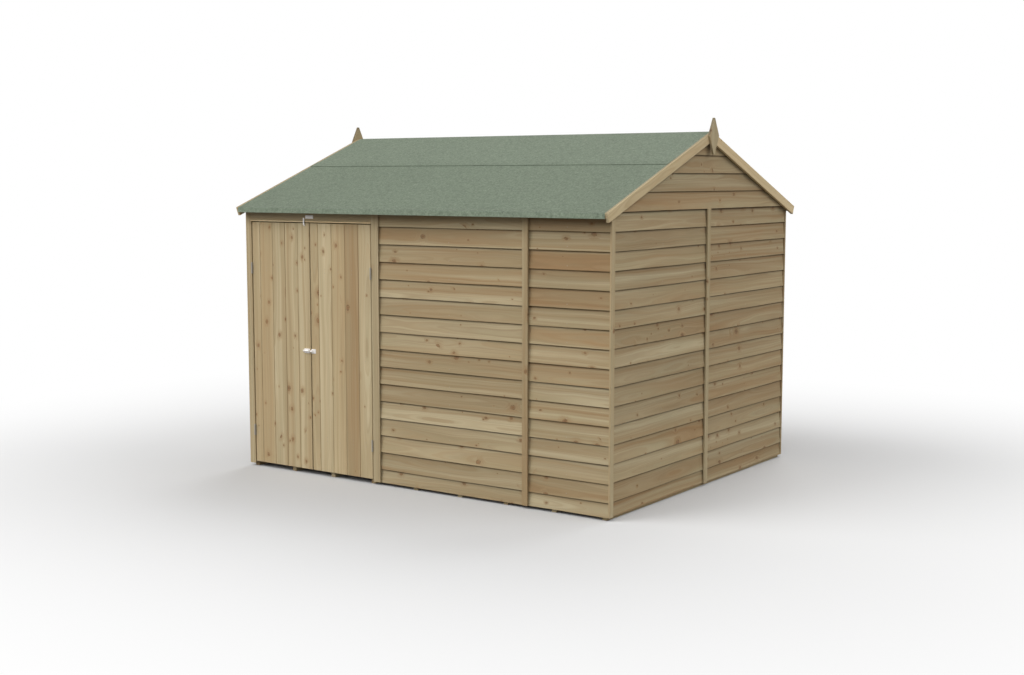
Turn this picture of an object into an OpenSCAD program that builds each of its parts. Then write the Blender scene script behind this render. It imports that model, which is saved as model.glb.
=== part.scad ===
// Wooden garden shed with a felted apex roof and a pair of boarded doors.
// Millimetres, +Z up. The ridge runs along X, the doors face -Y and the ground is z = 0.

/* [Walls] */
// Width of a wide wall panel on the long sides
panel_wide = 1176; // [1000:1:1400]
// Width of the narrow panel at the end of a long side
panel_narrow = 592; // [400:1:800]
// Depth over the faces of the front and rear boarding
shed_depth = 2426; // [2000:1:2800]
// Thickness of the overlapped boarding
clad_t = 15; // [10:0.5:20]
// Depth of the studs and plates behind the boarding
frame_d = 27; // [22:0.5:38]
// Width of a stud
stud_w = 38; // [27:1:50]
// Number of studs in a panel
stud_count = 3; // [2:1:5]
// Height of a sole or top plate
plate_h = 27; // [20:1:40]
// Height of the boarding's lower edge above the ground
skirt_z = 19; // [10:1:26]
// How far the joint of the side panels lies behind the middle
side_joint = 12; // [0:1:60]
// How far the gable boarding stands in front of the side boarding
gable_step = 8; // [2:0.5:11]
// How far above the wall plates the gable boarding starts
gable_rise = 11; // [0:1:12]
// Thickness of the corner and cover strips
strip_t = 12; // [9:0.5:16]

/* [Floor] */
// Number of bearers under the floor
bearer_count = 9; // [5:2:13]
// Width of a bearer
bearer_w = 34; // [28:1:50]
// Height of a bearer
bearer_h = 28; // [24:1:50]
// Thickness of the floor boards
deck_t = 11; // [9:0.5:20]

/* [Roof] */
// Pitch of the roof in degrees
roof_pitch = 21.1; // [15:0.1:26]
// Thickness of the roof sheets
sheet_t = 11; // [8:0.5:18]
// Depth of a rafter, square to the slope
rafter_d = 27; // [20:0.5:40]
// Number of rafters on each slope
rafter_count = 6; // [4:1:8]
// How far the eaves reach past the front boarding
eaves_out = 78; // [60:1:140]
// Depth of the felt turned down at the eaves
eaves_drop = 33; // [32:1:60]
// Thickness of the eaves battens
batten_t = 27; // [18:1:38]
// Thickness of the roofing felt
felt_t = 3; // [2:0.1:5]
// How far the ridge felt reaches down each slope
ridge_felt_w = 600; // [400:1:700]
// How far the ridge felt laps over the felt below it
felt_lap = 90; // [50:1:150]

/* [Trim] */
// Width of a barge board
barge_w = 60; // [50:1:90]
// Thickness of a barge board
barge_t = 18; // [12:0.5:24]
// How far a barge board's upper edge stands over the roof sheet
barge_lift = 4; // [4:0.5:12]
// How far a barge board runs past the roof sheet at the eaves
barge_past = 3; // [3:0.5:20]
// Width of a finial at its widest
finial_w = 132; // [80:1:150]
// Height of a finial's tip over the ridge
finial_up = 90; // [60:1:130]
// Depth of a finial's lower tip below the ridge
finial_down = 144; // [90:1:160]
// How far below the ridge a finial is widest
finial_mid = 23; // [0:1:40]
// Width of the flats at a finial's tips
finial_tip = 12; // [4:1:20]
// Thickness of a finial
finial_t = 14; // [10:0.5:20]

/* [Doorway] */
// Width of the facing board at the corner side of the doorway
corner_facing_w = 40; // [36:1:60]
// Width of the facing board at the panel side of the doorway
inner_facing_w = 44; // [40:1:70]
// How far the inner facing board covers the boarding beside it
inner_facing_over = 15; // [4:1:30]
// How far the facing boards stand in front of the boarding
facing_proud = 9; // [3:0.5:12]
// Height of a door's lower edge above the ground
door_bottom = 36; // [30:1:50]
// Height of a door
door_h = 1685; // [1600:1:2000]
// Thickness of the door boards
door_t = 12; // [10:0.5:18]
// How far the door boards lie behind the facing boards
door_set = 1.5; // [1:0.5:6]
// Gap between a door and the facing at its hinges
hinge_gap = 7; // [7:0.5:12]
// Gap between the two doors
meeting_gap = 8; // [6:0.5:12]
// Gap over the doors
head_gap = 6; // [5:0.5:10]
// Height of the wall frames' top over the gap above the doors
head_h = 88; // [60:1:200]
// Width of a ledge across the back of a door
ledge_w = 95; // [80:1:120]
// Thickness of the ledges and braces
ledge_t = 26; // [18:0.5:27]
// How far the ledges stop short of the meeting edge
ledge_inset = 16; // [8:1:40]
// Width of a brace along the ledge it stands on
brace_w = 110; // [80:1:140]

/* [Hinges] */
// Height of the lower hinges above the ground
hinge_low = 260; // [200:1:350]
// Height of the upper hinges above the ground
hinge_high = 1402; // [1250:1:1500]
// Height of a hinge
hinge_h = 78; // [60:1:90]
// Radius of a hinge knuckle
knuckle_r = 5; // [4:0.1:6]
// Radius of a hinge pin
pin_r = 2.5; // [2:0.1:3]
// Height of a knuckle on the frame's leaf
end_knuckle_h = 19; // [14:1:24]
// Thickness of a hinge leaf
leaf_t = 1.8; // [1.2:0.1:2.4]
// Depth of a hinge leaf behind the pin
leaf_d = 32; // [28:0.5:40]

/* [Pad bolt and catch] */
// Height of the pad bolt above the ground
bolt_z = 854; // [700:1:1000]
// Radius of the bolt
bolt_r = 4.5; // [3:0.1:5]
// How far the bolt slides
bolt_travel = 28; // [28:1:36]
// How far the bolt's back plate lies from the meeting edge
bolt_plate_back = 6; // [6:1:20]
// Height of the bolt's back plate
bolt_plate_h = 30; // [20:1:34]
// Thickness of the bolt's plates
bolt_plate_t = 2; // [1.5:0.1:3]
// Width of a guide that the bolt runs in
guide_w = 5; // [5:0.5:8]
// Height and depth of a guide
guide_s = 15; // [13:0.5:18]
// How far the keep's plate lies from the meeting edge
keep_back = 1; // [1:0.5:4]
// How far the keep's loop lies from the edge of its plate
keep_loop_back = 1; // [1:0.5:4]
// Width of the keep's loop
keep_loop_w = 14; // [10:0.5:16]
// Length of the keep's plate
keep_plate_w = 39; // [26:1:40]
// Height of the keep's plate
keep_plate_h = 30; // [26:1:45]
// Radius of the bolt's knob
knob_r = 3; // [3:0.1:5]
// Length of the bolt's knob
knob_len = 17; // [12:0.5:22]
// Width of the catch plate over the doors
catch_plate_w = 70; // [60:1:100]
// How far the catch plate lies to the right of the doors' meeting
catch_plate_side = 4; // [0:1:10]
// Height of the catch plate
catch_plate_h = 23; // [18:1:34]
// Height of the catch plate over the head's lower edge
catch_plate_up = 25; // [15:1:32]
// Thickness of the catch plate
catch_plate_t = 3; // [2:0.1:5]
// Width of the catch on the left door
catch_w = 12; // [8:1:16]
// Height of the catch on the left door
catch_h = 54; // [50:1:64]
// How far the catch's foot lies below the door's upper edge
catch_foot = 18; // [18:1:30]
// How far the catch's crank lies below the door's upper edge
catch_crank = 8; // [4:1:12]
// How far the catch lies from the meeting edge
catch_back = 34; // [33:1:80]

/* [Hidden] */

// Colours
pine = [0.64, 0.57, 0.44];
pale_pine = [0.74, 0.66, 0.51];
green_felt = [0.51, 0.57, 0.50];
board_tan = [0.62, 0.52, 0.38];
zinc = [0.80, 0.79, 0.78];

// Clearances
pin_clear = 0.06;
knuckle_clear = 0.5;
bolt_clear = 0.3;
keep_clear = 0.8;
catch_clear = 5;
bolt_tip_back = 3;
knob_clear = 3;
stud_part = 1;
cut_over = 1;
sheet_clear = 0.05;
felt_clear = 0.1;

// Faces of the walls
half_l = (2 * panel_wide + panel_narrow) / 2;
half_d = shed_depth / 2;
frame_x = half_l - clad_t;
frame_y = half_d - clad_t;
inner_x = frame_x - frame_d;
inner_y = frame_y - frame_d;
wall_t = clad_t + frame_d;
deck_top = bearer_h + deck_t;
strip_x = half_l + strip_t;
strip_w = wall_t;

// Joints between the panels of the long walls
joint_door = -half_l + panel_wide;
joint_end = joint_door + panel_wide;
rear_joint_left = -half_l + panel_wide;
rear_joint_right = rear_joint_left + panel_wide;

// Heights of the doors and of the wall frames over them
door_top = door_bottom + door_h;
head_z = door_top + head_gap;
wall_top = head_z + head_h;
gable_z = wall_top + gable_rise;

// Roof surfaces: the sheets' upper faces meet at the apex
apex_z = wall_top + (sheet_t + rafter_d) / cos(roof_pitch) + frame_y * tan(roof_pitch);
eaves_y = half_d + eaves_out;
felt_foot_z = plumb(eaves_y + felt_t, felt_t)[1] - eaves_drop;
ridge_felt_top = ridge_felt_w - felt_lap;
barge_len = (eaves_y + barge_past) / cos(roof_pitch);

// Doorway
open_left = -half_l + corner_facing_w;
open_right = joint_door - inner_facing_w;
facing_y = half_d + facing_proud;
door_y = facing_y - door_set;
door_w = (open_right - open_left - 2 * hinge_gap - meeting_gap) / 2;
ledge_mid = (hinge_low + hinge_high) / 2;
hinge_heights = [hinge_low, hinge_high];
ledge_heights = [hinge_low, ledge_mid, hinge_high];
hinge_y = facing_y + knuckle_r + knuckle_clear;
bolt_y = door_y + bolt_plate_t + guide_s / 2;
bolt_plate_w = 2 * (guide_w + knob_r + knob_clear) + bolt_travel;
bolt_plate_x = door_w - bolt_plate_w - bolt_plate_back;

// A point on the roof at a distance y from the ridge, d over the sheets, cut plumb
function plumb(y, d) = [y, apex_z - y * tan(roof_pitch) + d / cos(roof_pitch)];
// A point s down the slope from the apex and d square to it
function square_cut(s, d) = [s * cos(roof_pitch) + d * sin(roof_pitch),
                             apex_z - s * sin(roof_pitch) + d * cos(roof_pitch)];
// Height of the rafters' lower faces at a distance y from the ridge
function under_rafters(y) = plumb(y, -(sheet_t + rafter_d))[1];
// An outline for the front (-1) or rear (1) slope
function slope_side(side, points) = [for (p = points) [side * p[0], p[1]]];
// Evenly spaced values from a to b
function spread(a, b, count) = [for (i = [0 : count - 1]) a + (b - a) * i / (count - 1)];
// The same points in the other order
function turned(points) = [for (i = [len(points) - 1 : -1 : 0]) points[i]];

module block(low, high) {
    translate(low) cube(high - low);
}

// Extrudes an outline in Y and Z along X
module along_x(x0, x1) {
    translate([x0, 0, 0]) rotate([90, 0, 90]) linear_extrude(x1 - x0) children();
}

// Extrudes an outline in X and Z along Y
module along_y(y0, y1) {
    translate([0, y1, 0]) rotate([90, 0, 0]) linear_extrude(y1 - y0) children();
}

// Places a shape on both ends of the shed
module both_ends() {
    for (turn = [0, 1]) mirror([turn, 0, 0]) children();
}

// Floor

module floor_bearers() {
    end = frame_x - bearer_w / 2;
    color(pine) for (x = spread(-end, end, bearer_count))
        block([x - bearer_w / 2, -frame_y, 0], [x + bearer_w / 2, frame_y, bearer_h]);
}

module floor_deck() {
    color(pale_pine) block([-frame_x, -frame_y, bearer_h], [frame_x, frame_y, deck_top]);
}

// Wall frames

module long_stud(x, side) {
    low = min(side * frame_y, side * inner_y);
    block([x, low, deck_top + plate_h], [x + stud_w, low + frame_d, wall_top - plate_h]);
}

// Studs at both ends of a panel that runs from x0 to x1, and evenly between them
module panel_studs(x0, x1, side) {
    for (x = spread(x0, x1 - stud_w, stud_count)) long_stud(x, side);
}

module door_post(x0, x1) {
    block([x0, -frame_y, deck_top], [x1, -inner_y, wall_top - plate_h]);
}

module long_wall_studs() {
    color(pine) {
        door_post(-half_l, open_left);
        door_post(open_right, joint_door - stud_part);
        panel_studs(joint_door, joint_end - stud_part, -1);
        panel_studs(joint_end, half_l, -1);
        panel_studs(-frame_x, rear_joint_left - stud_part, 1);
        panel_studs(rear_joint_left, rear_joint_right - stud_part, 1);
        panel_studs(rear_joint_right, frame_x, 1);
    }
}

module side_stud(y) {
    block([inner_x, y, deck_top + plate_h], [frame_x, y + stud_w, wall_top - plate_h]);
}

module side_wall_studs() {
    color(pine) both_ends() {
        for (y = spread(-inner_y, side_joint - stud_part - stud_w, stud_count)) side_stud(y);
        for (y = spread(side_joint, inner_y - stud_w, stud_count)) side_stud(y);
    }
}

module long_wall_plates() {
    color(pine) {
        block([joint_door, -frame_y, deck_top], [half_l, -inner_y, deck_top + plate_h]);
        block([-frame_x, inner_y, deck_top], [frame_x, frame_y, deck_top + plate_h]);
        block([-half_l, -frame_y, wall_top - plate_h], [half_l, -inner_y, wall_top]);
        block([-frame_x, inner_y, wall_top - plate_h], [frame_x, frame_y, wall_top]);
    }
}

module side_wall_plates() {
    color(pine) both_ends() for (z = [deck_top, wall_top - plate_h])
        block([inner_x, -inner_y, z], [frame_x, inner_y, z + plate_h]);
}

// Boarding, one slab to a panel

module long_panel(x0, x1, side) {
    low = min(side * frame_y, side * half_d);
    color(pine) block([x0, low, skirt_z], [x1, low + clad_t, under_rafters(half_d)]);
}

module side_panel(end, y0, y1) {
    low = min(end * frame_x, end * half_l);
    color(pine) block([low, y0, skirt_z], [low + clad_t, y1, gable_z]);
}

module gable(end) {
    edge = plumb(half_d, -sheet_t);
    peak = plumb(0, -sheet_t);
    outline = [[-half_d, gable_z], [half_d, gable_z], edge, peak, [-edge[0], edge[1]]];
    x0 = min(end * frame_x, end * (half_l + gable_step));
    color(pine) along_x(x0, x0 + clad_t + gable_step) polygon(outline);
}

module front_panel_wide() { long_panel(joint_door, joint_end, -1); }
module front_panel_narrow() { long_panel(joint_end, half_l, -1); }
module rear_panel_left() { long_panel(-half_l, rear_joint_left, 1); }
module rear_panel_middle() { long_panel(rear_joint_left, rear_joint_right, 1); }
module rear_panel_right() { long_panel(rear_joint_right, half_l, 1); }
module right_panel_front() { side_panel(1, -inner_y, side_joint); }
module right_panel_rear() { side_panel(1, side_joint, frame_y); }
module right_gable() { gable(1); }
module left_panel_front() { side_panel(-1, -inner_y, side_joint); }
module left_panel_rear() { side_panel(-1, side_joint, frame_y); }
module left_gable() { gable(-1); }

// Strips over the corners and the panel joints

// The front strips lie on the side walls, the rear ones on the rear wall
module corner_strips() {
    color(pale_pine) both_ends() {
        block([half_l, -half_d, skirt_z], [strip_x, -half_d + strip_w, gable_z]);
        block([half_l - strip_w, half_d, skirt_z],
              [half_l, half_d + strip_t, under_rafters(half_d + strip_t)]);
    }
}

module long_cover_strip(x, side) {
    low = min(side * half_d, side * (half_d + strip_t));
    top = under_rafters(half_d + strip_t);
    block([x - strip_w / 2, low, skirt_z], [x + strip_w / 2, low + strip_t, top]);
}

module cover_strips() {
    color(pale_pine) {
        long_cover_strip(joint_end, -1);
        long_cover_strip(rear_joint_left, 1);
        long_cover_strip(rear_joint_right, 1);
        both_ends() block([half_l, side_joint - strip_w / 2, skirt_z],
                          [strip_x, side_joint + strip_w / 2, gable_z]);
    }
}

// Doorway

// A facing board, with a lip over the corner strip or the boarding beside it
module facing_board(x0, x1, lip0, lip1) {
    top = under_rafters(facing_y);
    block([x0, -half_d, skirt_z], [x1, -frame_y, top]);
    block([lip0, -facing_y, skirt_z], [lip1, -half_d, top]);
}

module door_facings() {
    color(pale_pine) {
        facing_board(-half_l, open_left, -strip_x, open_left);
        facing_board(open_right, joint_door, open_right, joint_door + inner_facing_over);
    }
}

module door_head() {
    color(pale_pine) block([open_left, -facing_y, head_z], [open_right, -frame_y, under_rafters(facing_y)]);
}

// Roof

module rafters(side) {
    end = eaves_y - batten_t;
    outline = [plumb(0, -sheet_t), plumb(end, -sheet_t),
               plumb(end, -(sheet_t + rafter_d)), plumb(0, -(sheet_t + rafter_d))];
    color(pine) for (x = spread(-frame_x, frame_x - stud_w, rafter_count))
        along_x(x, x + stud_w) polygon(slope_side(side, outline));
}

module front_rafters() { rafters(-1); }
module rear_rafters() { rafters(1); }

module eaves_battens() {
    inner = eaves_y - batten_t;
    outline = [[inner, felt_foot_z], [eaves_y, felt_foot_z],
               plumb(eaves_y, -sheet_t), plumb(inner, -sheet_t)];
    color(pine) for (side = [-1, 1])
        along_x(-strip_x, strip_x) polygon(slope_side(side, outline));
}

module roof_sheet(side) {
    under = sheet_clear - sheet_t;
    outline = [plumb(0, 0), plumb(eaves_y, 0), plumb(eaves_y, under), plumb(0, under)];
    color(board_tan) along_x(-strip_x, strip_x) polygon(slope_side(side, outline));
}

module front_roof_sheet() { roof_sheet(-1); }
module rear_roof_sheet() { roof_sheet(1); }

// A sheet of felt from under the ridge felt to its turned down edge
module eaves_felt(side) {
    outer = eaves_y + felt_t;
    top = ridge_felt_top * cos(roof_pitch);
    outline = [plumb(top, felt_clear), plumb(top, felt_t), plumb(outer, felt_t),
               [outer, felt_foot_z], [eaves_y, felt_foot_z], plumb(eaves_y, felt_clear)];
    color(green_felt) along_x(-strip_x, strip_x) polygon(slope_side(side, outline));
}

module front_felt() { eaves_felt(-1); }
module rear_felt() { eaves_felt(1); }

// The ridge felt lies on the sheets and steps over the felt below it
module ridge_felt() {
    step = ridge_felt_top * cos(roof_pitch);
    foot = ridge_felt_w * cos(roof_pitch);
    upper = [plumb(foot, 2 * felt_t), plumb(step - felt_t, 2 * felt_t), plumb(step - 2 * felt_t, felt_t)];
    over = felt_t + felt_clear;
    lower = [plumb(foot, over), plumb(step, over), plumb(step, felt_clear)];
    outline = concat(slope_side(-1, upper), [plumb(0, felt_t)], turned(upper),
                     lower, [plumb(0, felt_clear)], slope_side(-1, turned(lower)));
    color(green_felt) along_x(-strip_x, strip_x) polygon(outline);
}

module barge_boards(side) {
    low = barge_lift - barge_w;
    outline = [plumb(0, barge_lift), square_cut(barge_len, barge_lift),
               square_cut(barge_len, low), plumb(0, low)];
    color(pale_pine) both_ends()
        along_x(strip_x, strip_x + barge_t) polygon(slope_side(side, outline));
}

module front_barge_boards() { barge_boards(-1); }
module rear_barge_boards() { barge_boards(1); }

module finials() {
    tip = finial_tip / 2;
    wide = finial_w / 2;
    outline = [[-tip, finial_up], [tip, finial_up], [wide, -finial_mid],
               [tip, -finial_down], [-tip, -finial_down], [-wide, -finial_mid]];
    face = strip_x + barge_t;
    color(pale_pine) both_ends() translate([0, 0, apex_z])
        along_x(face, face + finial_t) polygon(outline);
}

// Doors. A leaf is drawn with its hinge edge at x = 0 and its meeting edge at x = door_w.

module on_left_door() {
    translate([open_left + hinge_gap, 0, 0]) children();
}

module on_right_door() {
    translate([open_right - hinge_gap, 0, 0]) mirror([1, 0, 0]) children();
}

module door_boards() {
    color(pale_pine) block([0, -door_y, door_bottom], [door_w, -door_y + door_t, door_top]);
}

module door_ledges() {
    back = -door_y + door_t;
    color(pine) for (z = ledge_heights)
        block([0, back, z - ledge_w / 2], [door_w - ledge_inset, back + ledge_t, z + ledge_w / 2]);
}

// Two braces, each rising from the hinge edge of one ledge to the far end of the next
module door_braces() {
    back = -door_y + door_t;
    far = door_w - ledge_inset - brace_w;
    color(pine) for (i = [0, 1]) {
        z0 = ledge_heights[i] + ledge_w / 2;
        z1 = ledge_heights[i + 1] - ledge_w / 2;
        along_y(back, back + ledge_t)
            polygon([[0, z0], [brace_w, z0], [far + brace_w, z1], [far, z1]]);
    }
}

// Hinges. The pin stands in the gap beside the leaf, just in front of the facing boards.

module at_pin(z) {
    translate([-hinge_gap / 2, -hinge_y, z]) children();
}

module frame_leaf(z) {
    low = z - hinge_h / 2;
    mid_h = hinge_h - 2 * end_knuckle_h;
    difference() {
        block([-hinge_gap, -hinge_y, low], [-hinge_gap + leaf_t, -hinge_y + leaf_d, low + hinge_h]);
        at_pin(low + end_knuckle_h - knuckle_clear)
            cylinder(r = knuckle_r + knuckle_clear, h = mid_h + 2 * knuckle_clear);
    }
    for (z0 = [low, low + hinge_h - end_knuckle_h]) at_pin(z0) cylinder(r = knuckle_r, h = end_knuckle_h);
    at_pin(low) cylinder(r = pin_r, h = hinge_h);
}

module door_leaf(z) {
    low = z - hinge_h / 2;
    mid_low = low + end_knuckle_h + knuckle_clear;
    mid_h = hinge_h - 2 * end_knuckle_h - 2 * knuckle_clear;
    end_h = end_knuckle_h + 2 * knuckle_clear;
    difference() {
        union() {
            difference() {
                block([-leaf_t, -hinge_y, low], [0, -hinge_y + leaf_d, low + hinge_h]);
                for (z0 = [low - knuckle_clear, low + hinge_h - end_h + knuckle_clear])
                    at_pin(z0) cylinder(r = knuckle_r + knuckle_clear, h = end_h);
            }
            at_pin(mid_low) cylinder(r = knuckle_r, h = mid_h);
        }
        at_pin(low - knuckle_clear) cylinder(r = pin_r + pin_clear, h = hinge_h + 2 * knuckle_clear);
    }
}

module frame_hinge_leaves() {
    color(zinc) for (z = hinge_heights) {
        on_left_door() frame_leaf(z);
        on_right_door() frame_leaf(z);
    }
}

module door_hinge_leaves() {
    color(zinc) for (z = hinge_heights) door_leaf(z);
}

// Pad bolt, drawn back clear of the gap, and its keep. A guide is a block with a bore along X.

module guide(x, w, clear) {
    low = -door_y - bolt_plate_t - guide_s;
    difference() {
        block([x, low, bolt_z - guide_s / 2], [x + w, low + guide_s, bolt_z + guide_s / 2]);
        translate([x - cut_over, -bolt_y, bolt_z]) rotate([0, 90, 0])
            cylinder(r = bolt_r + clear, h = w + 2 * cut_over);
    }
}

module back_plate(x, w, h, z) {
    block([x, -door_y - bolt_plate_t, z], [x + w, -door_y, z + h]);
}

module bolt_plate() {
    color(zinc) on_left_door() {
        back_plate(bolt_plate_x, bolt_plate_w, bolt_plate_h, bolt_z - bolt_plate_h / 2);
        guide(bolt_plate_x, guide_w, bolt_clear);
        guide(bolt_plate_x + bolt_plate_w - guide_w, guide_w, bolt_clear);
    }
}

module pad_bolt() {
    tail = bolt_plate_x - bolt_tip_back;
    knob_x = bolt_plate_x + guide_w + knob_clear + knob_r;
    color(zinc) on_left_door() translate([0, -bolt_y, bolt_z]) {
        translate([tail, 0, 0]) rotate([0, 90, 0]) cylinder(r = bolt_r, h = door_w - bolt_tip_back - tail);
        translate([knob_x, 0, 0]) rotate([90, 0, 0]) cylinder(r = knob_r, h = knob_len);
    }
}

module bolt_keep() {
    x0 = door_w - keep_plate_w - keep_back;
    color(zinc) on_right_door() {
        back_plate(x0, keep_plate_w, keep_plate_h, bolt_z + bolt_plate_h / 2 - keep_plate_h);
        guide(door_w - keep_back - keep_loop_back - keep_loop_w, keep_loop_w, keep_clear);
    }
}

// Catch over the doors: a plate on the head, and a cranked strap on the left door

module head_catch_plate() {
    mid = (open_left + open_right) / 2 + catch_plate_side;
    z = head_z + catch_plate_up;
    color(zinc) block([mid - catch_plate_w / 2, -facing_y - catch_plate_t, z],
                      [mid + catch_plate_w / 2, -facing_y, z + catch_plate_h]);
}

module top_catch() {
    face = -door_y;
    front = -facing_y - catch_clear;
    z0 = door_top - catch_foot;
    z1 = door_top - catch_crank;
    outline = [[face, z0], [face, z1], [front, z1], [front, z0 + catch_h],
               [front - bolt_plate_t, z0 + catch_h], [front - bolt_plate_t, z1 - bolt_plate_t],
               [face - bolt_plate_t, z1 - bolt_plate_t], [face - bolt_plate_t, z0]];
    x0 = door_w - catch_w - catch_back;
    color(zinc) on_left_door() along_x(x0, x0 + catch_w) polygon(outline);
}

module left_door_boards() { on_left_door() door_boards(); }
module left_door_ledges() { on_left_door() door_ledges(); }
module left_door_braces() { on_left_door() door_braces(); }
module left_door_hinge_leaves() { on_left_door() door_hinge_leaves(); }
module right_door_boards() { on_right_door() door_boards(); }
module right_door_ledges() { on_right_door() door_ledges(); }
module right_door_braces() { on_right_door() door_braces(); }
module right_door_hinge_leaves() { on_right_door() door_hinge_leaves(); }

floor_bearers();
floor_deck();
long_wall_studs();
side_wall_studs();
long_wall_plates();
side_wall_plates();
front_panel_wide();
front_panel_narrow();
right_panel_front();
right_panel_rear();
right_gable();
left_panel_front();
left_panel_rear();
left_gable();
rear_panel_left();
rear_panel_middle();
rear_panel_right();
corner_strips();
cover_strips();
door_facings();
door_head();
front_rafters();
rear_rafters();
eaves_battens();
front_roof_sheet();
rear_roof_sheet();
front_felt();
rear_felt();
ridge_felt();
front_barge_boards();
rear_barge_boards();
finials();
frame_hinge_leaves();
head_catch_plate();
left_door_boards();
left_door_ledges();
left_door_braces();
left_door_hinge_leaves();
bolt_plate();
top_catch();
pad_bolt();
right_door_boards();
right_door_ledges();
right_door_braces();
right_door_hinge_leaves();
bolt_keep();
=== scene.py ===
"""Dresses a wooden garden shed: overlapped boarding, boarded doors, felted roof and ironmongery."""

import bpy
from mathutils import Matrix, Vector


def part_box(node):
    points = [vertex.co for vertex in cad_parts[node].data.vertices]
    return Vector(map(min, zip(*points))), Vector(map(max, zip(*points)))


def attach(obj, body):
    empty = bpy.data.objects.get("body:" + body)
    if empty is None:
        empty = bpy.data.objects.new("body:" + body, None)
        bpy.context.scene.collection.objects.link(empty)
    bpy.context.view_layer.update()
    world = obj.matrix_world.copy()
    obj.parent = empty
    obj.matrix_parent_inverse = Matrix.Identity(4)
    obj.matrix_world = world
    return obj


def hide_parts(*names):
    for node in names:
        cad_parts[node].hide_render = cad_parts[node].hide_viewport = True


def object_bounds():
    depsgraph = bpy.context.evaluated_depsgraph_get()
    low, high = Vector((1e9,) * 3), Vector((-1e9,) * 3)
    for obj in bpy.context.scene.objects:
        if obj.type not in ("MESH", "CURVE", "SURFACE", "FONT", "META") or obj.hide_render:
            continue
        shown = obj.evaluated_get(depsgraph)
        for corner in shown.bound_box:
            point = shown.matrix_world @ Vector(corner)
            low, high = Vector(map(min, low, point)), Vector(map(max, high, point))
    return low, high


bl_info = {
    "name": "Wooden garden shed",
    "version": (1, 0, 0),
    "blender": (4, 5, 0),
    "location": "View3D > Sidebar > Shed",
    "description": "Boards, trims, felts and furnishes a garden shed around its solid frame",
    "category": "Object",
}

import math
import random

import bmesh
import bpy
from bpy.props import FloatProperty, FloatVectorProperty, IntProperty, PointerProperty
from mathutils import Matrix, Vector, noise

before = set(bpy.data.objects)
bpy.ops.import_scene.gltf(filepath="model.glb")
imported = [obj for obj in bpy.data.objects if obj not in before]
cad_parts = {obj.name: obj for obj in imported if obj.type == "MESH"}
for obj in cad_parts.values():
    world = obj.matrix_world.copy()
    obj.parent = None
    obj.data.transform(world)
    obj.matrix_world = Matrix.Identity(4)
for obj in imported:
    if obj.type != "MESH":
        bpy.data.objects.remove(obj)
CAD_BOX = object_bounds()

MM = 0.001
UP = Vector((0, 0, 1))
ACROSS = Vector((1, 0, 0))
BACK = Vector((0, 1, 0))
WHITE = (1.0, 1.0, 1.0)

WELD = 0.01 * MM  # points closer than this are one
NEAR = 0.1 * MM  # a point closer than this to a plane lies on it
ALIKE = 0.99  # directions whose cosine is over this are the same
FLAT = math.radians(0.5)  # faces that turn by less than this are one
SHARP = math.radians(20)  # edges that turn by more than this stay sharp

LONG_PANELS = ("front_panel_wide", "front_panel_narrow",
               "rear_panel_left", "rear_panel_middle", "rear_panel_right")
SIDE_PANELS = ("right_panel_front", "right_panel_rear", "left_panel_front", "left_panel_rear")
GABLES = ("right_gable", "left_gable")
DOORS = ("left_door", "right_door")

# Where a board's wood may lie in its log: along it, across it and out from its pith, in metres
LOG = ((0, 90), (-0.09, 0.09), (0.03, 0.13))

# Each lamp's place, its strength, its turn from the front towards the left and its rise, both in degrees
LAMPS = {
    "key": ("at the front left", 2.14, 45, 33),
    "rim": ("at the back right", 1.32, 247, 38),
    "back": ("at the back", 1.7, 175, 45),
    "fill": ("at the front right", 0.66, 315, 25),
    "top": ("high at the front", 1.26, 0, 65),
}

WOODS = {
    "boarding": dict(light=0.94, warm=0.0, green=0.25, knots=0.36, figure=0.66),
    "trim": dict(light=1.0, warm=-0.09, green=0.20, knots=0.10, figure=0.45),
    "barge": dict(light=1.38, warm=-0.09, green=0.20, knots=0.10, figure=0.45),
    "door_boards": dict(light=1.13, warm=-0.05, green=0.18, knots=0.42, figure=0.5),
    "door_framing": dict(light=1.08, warm=-0.03, green=0.25, knots=0.22, figure=0.8),
    "framing": dict(light=1.0, warm=-0.03, green=0.30, knots=0.22, figure=0.9),
    "deck": dict(light=1.05, warm=0.0, green=0.25, knots=0.26, figure=0.9),
    # The bead's wood is pale, and is paler still as painted light so that it shows bright in the shade
    # under the eaves
    "bead": dict(light=1.75, warm=-0.2, green=0.10, knots=0.0, figure=0.3),
    "bearers": dict(light=0.95, warm=-0.08, green=0.50, knots=0.22, figure=0.8),
}


def length(name, description, default):
    """A size in metres that a user may change."""
    return FloatProperty(name=name, description=description, default=default, min=0.0,
                         unit="LENGTH", subtype="DISTANCE", precision=4)


def tint(name, description, default):
    """A colour, in linear light, that a user may change."""
    return FloatVectorProperty(name=name, description=description, default=default, size=3,
                               min=0.0, max=1.0, subtype="COLOR")


def angle(name, description, degrees):
    """An angle that a user may change."""
    return FloatProperty(name=name, description=description, default=math.radians(degrees), subtype="ANGLE")


def brightness(name, description, default):
    """The strength of a light that a user may change."""
    return FloatProperty(name=name, description=description, default=default, min=0.0)


def lamp_properties():
    """The strength, turn and rise of each lamp."""
    made = {}
    for lamp, (place, strength, turn, rise) in LAMPS.items():
        label = lamp.capitalize()
        made[lamp] = brightness(f"{label} lamp", f"Strength of the lamp {place}", strength)
        facing = f"The {lamp} lamp's turn from the front towards the left"
        made[lamp + "_turn"] = angle(f"{label} turn", facing, turn)
        made[lamp + "_rise"] = angle(f"{label} rise", f"The {lamp} lamp's height over the horizon", rise)
    return made


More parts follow.
